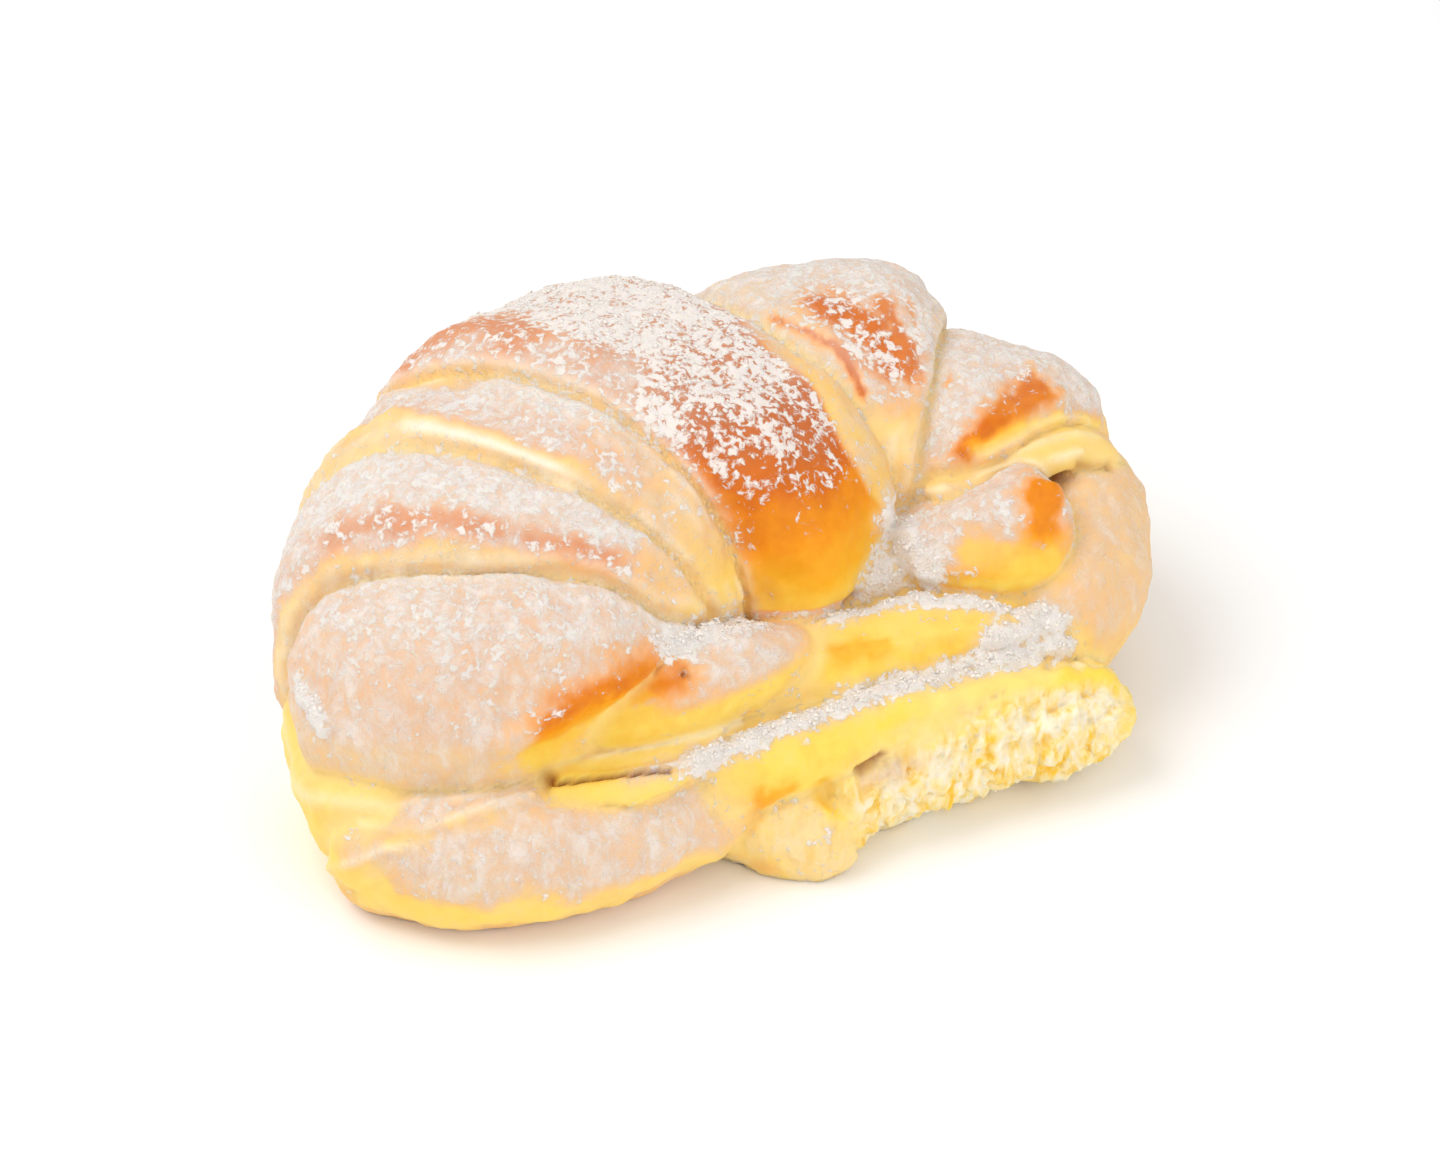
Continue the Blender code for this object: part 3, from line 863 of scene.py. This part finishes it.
def powder_group():
    """How powdered sugar lies: a film, how dry it is, specks, and how high its grains stand."""
    group = bpy.data.node_groups.new(POWDER, "ShaderNodeTree")
    inlets, outlets = ("Vector", "Veil", "Fleck"), ("Film", "Dryness", "Specks", "Grain")
    for way, names in (("INPUT", inlets), ("OUTPUT", outlets)):
        for name in names:
            kind = "NodeSocketVector" if name == "Vector" else "NodeSocketFloat"
            group.interface.new_socket(name, in_out=way, socket_type=kind)
    start, end = group.nodes.new("NodeGroupInput"), group.nodes.new("NodeGroupOutput")
    vector, veil, fleck = (start.outputs[name] for name in inlets)
    specks = cloud(group, vector, 840.0, 3.0, 0.62, 0.5)
    grains = cloud(group, vector, 2600.0, 2.0, 0.6)
    drifts = cloud(group, vector, 210.0, 3.0, 0.55)
    spread = times_plus(group, drifts, 0.3, times(group, specks, 0.7))
    bare = times_plus(group, fleck, -0.36, 0.68)
    whole = remap(group, calculate(group, "SUBTRACT", spread, bare), -0.045, 0.06)
    flecks = times(group, whole, remap(group, fleck, 0.0, 0.12))
    smears = cloud(group, drawn_out(group, vector, 0.5), 400.0, 6.0, 0.74, 0.4)
    mottle = remap(group, smears, 0.26, 0.74)
    film = times(group, veil, times_plus(group, mottle, 0.28, 0.88), clamp=True)
    dryness = remap(group, calculate(group, "ADD", veil, times(group, mottle, 0.7)), 0.82, 1.56)
    body = times_plus(group, flecks, 0.8, times(group, film, dryness))
    grain = times(group, body, times_plus(group, grains, 0.7, specks))
    for outlet, value in zip(outlets, (film, dryness, flecks, grain)):
        group.links.new(value, end.inputs[outlet])
    return group


def new_material(name, roughness):
    """A material, its node tree, its shader and the places of its own object."""
    material = bpy.data.materials.new(name)
    material.use_nodes = True
    tree = material.node_tree
    shader = tree.nodes["Principled BSDF"]
    shader.inputs["Roughness"].default_value = roughness
    return material, tree, shader, add_node(tree, "ShaderNodeTexCoord").outputs["Object"]


def dough_material(colours, group):
    material, tree, shader, place = new_material("baked dough dusted with sugar", 0.5)

    def painted(name):
        return add_node(tree, "ShaderNodeAttribute", attribute_name=name).outputs["Fac"]

    broad = cloud(tree, place, 110.0, 3.0)
    fine = cloud(tree, place, 480.0, 4.0, 0.6)
    uneven = times_plus(tree, broad, 0.26, times(tree, fine, 0.16))
    uneven = calculate(tree, "SUBTRACT", uneven, 0.21)
    bake = calculate(tree, "ADD", painted("bake"), uneven, clamp=True)
    crust = ramp(
        tree, bake,
        [
            (0.0, colours.pale), (0.2, colours.yellow), (0.4, colours.golden),
            (0.58, colours.orange), (0.78, colours.tan), (0.98, colours.brown),
        ],
    )
    crumb_tone = ramp(
        tree, cloud(tree, drawn_out(tree, place, 0.4), 420.0, 4.0, 0.6, 0.6),
        [(0.34, colours.crumb_yellow), (0.46, colours.crumb), (0.6, colours.crumb_white)],
    )
    crust = blend(tree, painted("crumb"), crust, crumb_tone)
    inputs = {"Vector": place, "Veil": painted("veil"), "Fleck": painted("fleck")}
    powder = add_node(tree, "ShaderNodeGroup", inputs, node_tree=group)
    film, specks = powder.outputs["Film"], powder.outputs["Specks"]
    sheen = blend(tree, powder.outputs["Dryness"], colours.film, colours.thick_film)
    # Creases show painted yellow light in pale dough and painted brown shade where the crust is
    # baked and bare
    bare_crust = calculate(tree, "SUBTRACT", remap(tree, bake, 0.55, 0.8), film, clamp=True)
    painted_crease_colour = blend(tree, bare_crust, colours.seam, colours.crease)

    # What lies on the crust, from the lowest up: how much of it covers, and its colour. Creases get
    # painted yellow light and brown shade, lines are pale layer edges and painted highlights, and
    # clefts get painted shade
    colour = crust
    for share, most, laid in (
        (film, 0.98, sheen),
        (painted("groove"), 0.62, painted_crease_colour),
        (painted("line"), 0.85, colours.layer),
        (specks, 0.92, colours.sugar),
        (painted("cleft_shade"), 0.9, colours.cleft_shade),
    ):
        colour = blend(tree, times(tree, share, most, clamp=True), colour, laid)
    tree.links.new(colour, shader.inputs["Base Color"])
    covered = calculate(tree, "MAXIMUM", film, specks)
    tree.links.new(remap(tree, covered, 0.1, 0.7, 0.45, 0.92), shader.inputs["Roughness"])
    skin = cloud(tree, place, 650.0, 4.0, 0.6)
    height = times_plus(tree, skin, 0.2, powder.outputs["Grain"])
    tree.links.new(bump_normal(tree, height, 0.6), shader.inputs["Normal"])
    shader.inputs["Subsurface Weight"].default_value = 0.25
    shader.inputs["Subsurface Radius"].default_value = (1.0, 0.65, 0.3)
    shader.inputs["Subsurface Scale"].default_value = 0.0035
    shader.inputs["Specular IOR Level"].default_value = 0.18
    return material


def sugar_material(colours, group):
    material, tree, shader, place = new_material("clumps of powdered sugar", 0.95)
    inputs = {"Vector": place, "Veil": 1.0, "Fleck": 1.0}
    powder = add_node(tree, "ShaderNodeGroup", inputs, node_tree=group)
    tone = remap(tree, cloud(tree, place, 1400.0, 3.0, 0.6), 0.35, 0.6)
    colour = blend(tree, tone, colours.bright_sugar, colours.sugar)
    tree.links.new(colour, shader.inputs["Base Color"])
    tree.links.new(bump_normal(tree, powder.outputs["Grain"], 0.5), shader.inputs["Normal"])
    shader.inputs["Specular IOR Level"].default_value = 0.15
    return material


def dress(obj, material):
    obj.data.materials.clear()
    obj.data.materials.append(material)


def finish_piece(obj, material):
    dress(obj, material)
    activate(obj)
    bpy.ops.object.shade_smooth()
    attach(obj, "root")


def piece(name):
    obj = bpy.data.objects.get(name)
    if obj is None:
        raise RuntimeError(f"{name} has to be made first")
    return obj


# What a user would change


def amount(name, default, text, **kind):
    return bpy.props.FloatProperty(name=name, description=text, default=default, **kind)


def millimetres(name, default, text):
    return amount(name, default, text + ", in millimetres", min=0.0)


def colour_of(name, rgb, text):
    return bpy.props.FloatVectorProperty(
        name=name, description=text, default=from_srgb(*rgb),
        size=3, subtype="COLOR", min=0.0, max=1.0,
    )


class DoughSizes(bpy.types.PropertyGroup):
    voxel: amount(
        "Mesh fineness", 0.66 * MM, "Distance between the points of the dough's surface",
        min=0.3 * MM, unit="LENGTH",
    )
    lump_height: millimetres("Lump height", 0.8, "How far broad lumps stand out")
    ripple_height: millimetres("Ripple height", 0.28, "How far small ripples stand out")
    crease_depth: millimetres("Crease depth", 0.7, "How deep the creases between turns are cut")
    heap_height: millimetres("Heap height", 0.9, "Height of the sugar that lies in creases")


class SugarSizes(bpy.types.PropertyGroup):
    clumps: bpy.props.IntProperty(
        name="Clumps", description="Number of sugar clumps on the crust",
        default=4600, min=0, max=9000,
    )
    smallest: millimetres("Smallest clump", 0.12, "Radius of the smallest clump")
    largest: millimetres("Largest clump", 0.4, "Radius of the largest clump")
    seed: bpy.props.IntProperty(
        name="Seed", description="Which scatter of clumps is drawn", default=7
    )


class Colours(bpy.types.PropertyGroup):
    pale: colour_of("Pale dough", (252, 220, 140), "Dough that was covered while baking")
    yellow: colour_of("Yellow dough", (251, 215, 86), "Dough that was half covered")
    golden: colour_of("Golden crust", (244, 178, 34), "Lightly baked crust")
    orange: colour_of("Orange crust", (240, 150, 14), "Baked crust")
    tan: colour_of("Tan crust", (214, 110, 20), "Well baked crust")
    brown: colour_of("Brown crust", (194, 96, 34), "Darkest crust")
    crumb: colour_of("Crumb", (250, 222, 150), "Torn inside")
    crumb_yellow: colour_of("Yellow crumb", (248, 198, 60), "Yellowest parts of the torn inside")
    crumb_white: colour_of("Pale crumb", (248, 236, 208), "Palest parts of the torn inside")
    # Pale layer edges, and the painted highlight along the lip of a turn and its ridge
    layer: colour_of("Layer edge", (254, 247, 232), "Thin edge of a rolled layer")
    # Painted light: the yellow that brightens creases of pale dough against their shade
    seam: colour_of("Yellow crease", (254, 226, 146), "Deep in a crease of pale dough")
    # Painted shade: the brown deep in creases of baked crust
    crease: colour_of("Brown crease", (205, 110, 30), "Deep in a crease of baked crust")
    # Painted shade in the narrow gaps between folds
    cleft_shade: colour_of("Cleft", (150, 74, 20), "In the dark gaps between folds")
    film: colour_of("Sugar film", (234, 200, 172), "Thin film of sugar that has drawn moisture")
    thick_film: colour_of("Thick sugar film", (236, 223, 213), "Dry film of sugar")
    sugar: colour_of("Sugar", (242, 235, 228), "Powdered sugar in specks")
    bright_sugar: colour_of("Bright sugar", (251, 245, 237), "Palest grains of a clump of sugar")
    floor: colour_of("Floor", (254, 254, 254), "Floor under the croissant")


class StageSizes(bpy.types.PropertyGroup):
    azimuth: amount(
        "Azimuth", math.radians(-28), "Way that the camera looks from, round the croissant",
        subtype="ANGLE",
    )
    elevation: amount(
        "Elevation", math.radians(38), "Height of the camera above the horizon", subtype="ANGLE"
    )
    distance: amount("Distance", 0.62, "From the camera to what it aims at", unit="LENGTH")
    view_width: amount(
        "View width", 0.214, "Width of the picture at what the camera aims at", unit="LENGTH"
    )
    aim: bpy.props.FloatVectorProperty(
        name="Aim", description="What the camera aims at",
        default=tuple(to_frame(np.array([0.0, 0.0, 25.0]))), size=3, subtype="TRANSLATION",
    )
    sky: amount("Sky", 0.74, "Strength of the light from all around", min=0.0)
    key: amount("Key light", 2.1, "Power of the large light, in watts", min=0.0)
    fill: amount("Fill light", 2.1 * 0.55, "Power of the light from the front, in watts", min=0.0)


def sizes(name):
    return getattr(bpy.context.scene, name)


def shared_group():
    return bpy.data.node_groups.get(POWDER) or powder_group()


class AddDough(bpy.types.Operator):
    """Shapes the dough from its turns and rolls, and bakes and dusts it"""

    bl_idname = "croissant.add_dough"
    bl_label = "Add dough"

    def execute(self, context):
        given = sizes("croissant_dough_sizes")
        lobes = [add_lobe(name, lobe) for name, lobe in LOBES.items()]
        obj = join(lobes, DOUGH)
        apply_modifier(obj, "REMESH", mode="VOXEL", voxel_size=given.voxel)
        obj = keep_largest(obj)
        cut_at_floor(obj)
        apply_modifier(obj, "SMOOTH", factor=0.5, iterations=1)
        mesh = obj.data
        points = to_lobes(coordinates(mesh))
        on_floor = points[:, 2] < FLOOR_CONTACT
        paint = paint_dough(points, coordinates(mesh, "normal"))
        fill_creases(obj, np.maximum(paint.drift, 0.3 * bump(0.0, 1.6, paint.gap)))
        rise = coordinates(mesh, "normal") * relief(paint, given)[:, None]
        points = to_lobes(coordinates(mesh)) + rise
        points[:, 2] = np.where(on_floor, 0.0, np.maximum(points[:, 2], 0.0))
        set_coordinates(mesh, to_frame(points))
        for channel in Paint.CHANNELS:
            store(mesh, channel, getattr(paint, channel))
        finish_piece(obj, dough_material(sizes("croissant_colours"), shared_group()))
        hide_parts(NODE)
        return {"FINISHED"}


class AddClumps(bpy.types.Operator):
    """Scatters small clumps of powdered sugar over the crust"""

    bl_idname = "croissant.add_clumps"
    bl_label = "Add sugar clumps"

    def execute(self, context):
        given = sizes("croissant_sugar_sizes")
        dough = piece(DOUGH).data
        draw = np.random.default_rng(given.seed)
        points = coordinates(dough)
        normals = coordinates(dough, "normal")

        # Where the clumps lie: on what looks up and has many specks
        fleck = stored(dough, "fleck") * fade(-0.1, 0.4, normals[:, 2])
        weights = np.clip(fleck - 0.5, 0, 1)
        chosen = draw.choice(len(points), given.clumps, p=weights / weights.sum())
        count = len(chosen)
        radius = given.smallest + (given.largest - given.smallest) * draw.random(count) ** 3
        normal = normals[chosen]
        side = unit_rows(np.cross(normal, draw.normal(size=(count, 3))))
        other = np.cross(normal, side)
        strewn = draw.normal(size=(count, 3)) * STREWN * MM
        middle = points[chosen] + strewn - normal * (strewn * normal).sum(1)[:, None]

        # One ball, made uneven for each clump
        deselect_all()
        bpy.ops.mesh.primitive_ico_sphere_add(subdivisions=1, radius=1.0)
        obj = bpy.context.object
        obj.name = CLUMPS
        old = obj.data
        ball = coordinates(old)
        faces = np.array([face.vertices[:] for face in old.polygons])
        stretch = np.stack(
            [radius * draw.uniform(0.8, 1.9, count), radius, radius * 0.6], axis=1
        ) * MM
        uneven = draw.uniform(0.75, 1.25, (count, len(ball), 1))
        local = ball[None] * uneven * stretch[:, None, :]
        placed = (
            middle[:, None]
            + side[:, None] * local[..., :1]
            + other[:, None] * local[..., 1:2]
            + normal[:, None] * local[..., 2:]
        ).reshape(-1, 3)
        placed[:, 2] = np.maximum(placed[:, 2], 0.0)
        first = np.arange(count)[:, None, None] * len(ball)
        obj.data = bpy.data.meshes.new(CLUMPS)
        obj.data.from_pydata(placed.tolist(), [], (faces[None] + first).reshape(-1, 3).tolist())
        bpy.data.meshes.remove(old)
        finish_piece(obj, sugar_material(sizes("croissant_colours"), shared_group()))
        return {"FINISHED"}


class SetStage(bpy.types.Operator):
    """Lays the floor, hangs the lights and sets up the camera"""

    bl_idname = "croissant.set_stage"
    bl_label = "Set stage"

    def execute(self, context):
        given = sizes("croissant_stage_sizes")
        colours = sizes("croissant_colours")
        scene = context.scene
        scene.view_settings.view_transform = "Standard"
        deselect_all()
        bpy.ops.mesh.primitive_plane_add(size=6.0, location=(0, 0, FLOOR_DROP))
        floor = context.object
        floor.name = "floor"
        bpy.ops.object.transform_apply(location=True)
        material, tree, shader, place = new_material("pale floor", 0.9)
        tone = ramp(
            tree, cloud(tree, place, 3.0),
            [(0.3, [c * 0.99 for c in colours.floor]), (0.7, colours.floor)],
        )
        tree.links.new(tone, shader.inputs["Base Color"])
        dress(floor, material)
        world = bpy.data.worlds.new("studio")
        scene.world = world
        world.use_nodes = True
        background = world.node_tree.nodes["Background"]
        background.inputs["Color"].default_value = (1.0, 1.0, 1.0, 1.0)
        background.inputs["Strength"].default_value = given.sky
        self.hang("key", (-0.32, 0.12, 0.62), 0.5, given.key)
        self.hang("fill", (0.15, -0.62, 0.3), 0.6, given.fill)
        self.aim_camera(given)
        return {"FINISHED"}

    def hang(self, name, place, size, power):
        deselect_all()
        bpy.ops.object.light_add(type="AREA", location=place)
        light = bpy.context.object
        light.name = name
        light.data.shape = "DISK"
        light.data.size = size
        light.data.energy = power
        light.rotation_mode = "QUATERNION"
        light.rotation_quaternion = (-Vector(place)).to_track_quat("-Z", "Y")

    def aim_camera(self, given):
        deselect_all()
        bpy.ops.object.camera_add()
        camera = bpy.context.object
        back = Vector((
            math.sin(given.azimuth) * math.cos(given.elevation),
            -math.cos(given.azimuth) * math.cos(given.elevation),
            math.sin(given.elevation),
        ))
        camera.location = Vector(given.aim) + back * given.distance
        camera.rotation_mode = "QUATERNION"
        camera.rotation_quaternion = (-back).to_track_quat("-Z", "Y")
        camera.data.sensor_width = 36.0
        camera.data.lens = camera.data.sensor_width * given.distance / given.view_width
        camera.data.clip_start = 0.02
        bpy.context.scene.camera = camera


class CroissantPanel(bpy.types.Panel):
    """Sizes, colours and steps of the croissant"""

    bl_idname = "VIEW3D_PT_croissant"
    bl_label = "Croissant"
    bl_space_type = "VIEW_3D"
    bl_region_type = "UI"
    bl_category = "Croissant"

    def draw(self, context):
        for name in GROUPS:
            box = self.layout.box()
            group = getattr(context.scene, name)
            for key in group.bl_rna.properties.keys():
                if key not in ("rna_type", "name"):
                    box.prop(group, key)
        for operator in OPERATORS:
            self.layout.operator(operator.bl_idname)


GROUPS = {
    "croissant_dough_sizes": DoughSizes,
    "croissant_sugar_sizes": SugarSizes,
    "croissant_colours": Colours,
    "croissant_stage_sizes": StageSizes,
}
OPERATORS = (AddDough, AddClumps, SetStage)


def register():
    for made in (*GROUPS.values(), *OPERATORS, CroissantPanel):
        bpy.utils.register_class(made)
    for name, group in GROUPS.items():
        setattr(bpy.types.Scene, name, bpy.props.PointerProperty(type=group))


def unregister():
    for name in GROUPS:
        delattr(bpy.types.Scene, name)
    for made in reversed((*GROUPS.values(), *OPERATORS, CroissantPanel)):
        bpy.utils.unregister_class(made)


def main():
    register()
    bpy.ops.croissant.add_dough()
    bpy.ops.croissant.add_clumps()
    bpy.ops.croissant.set_stage()


if __name__ == "__main__":
    main()
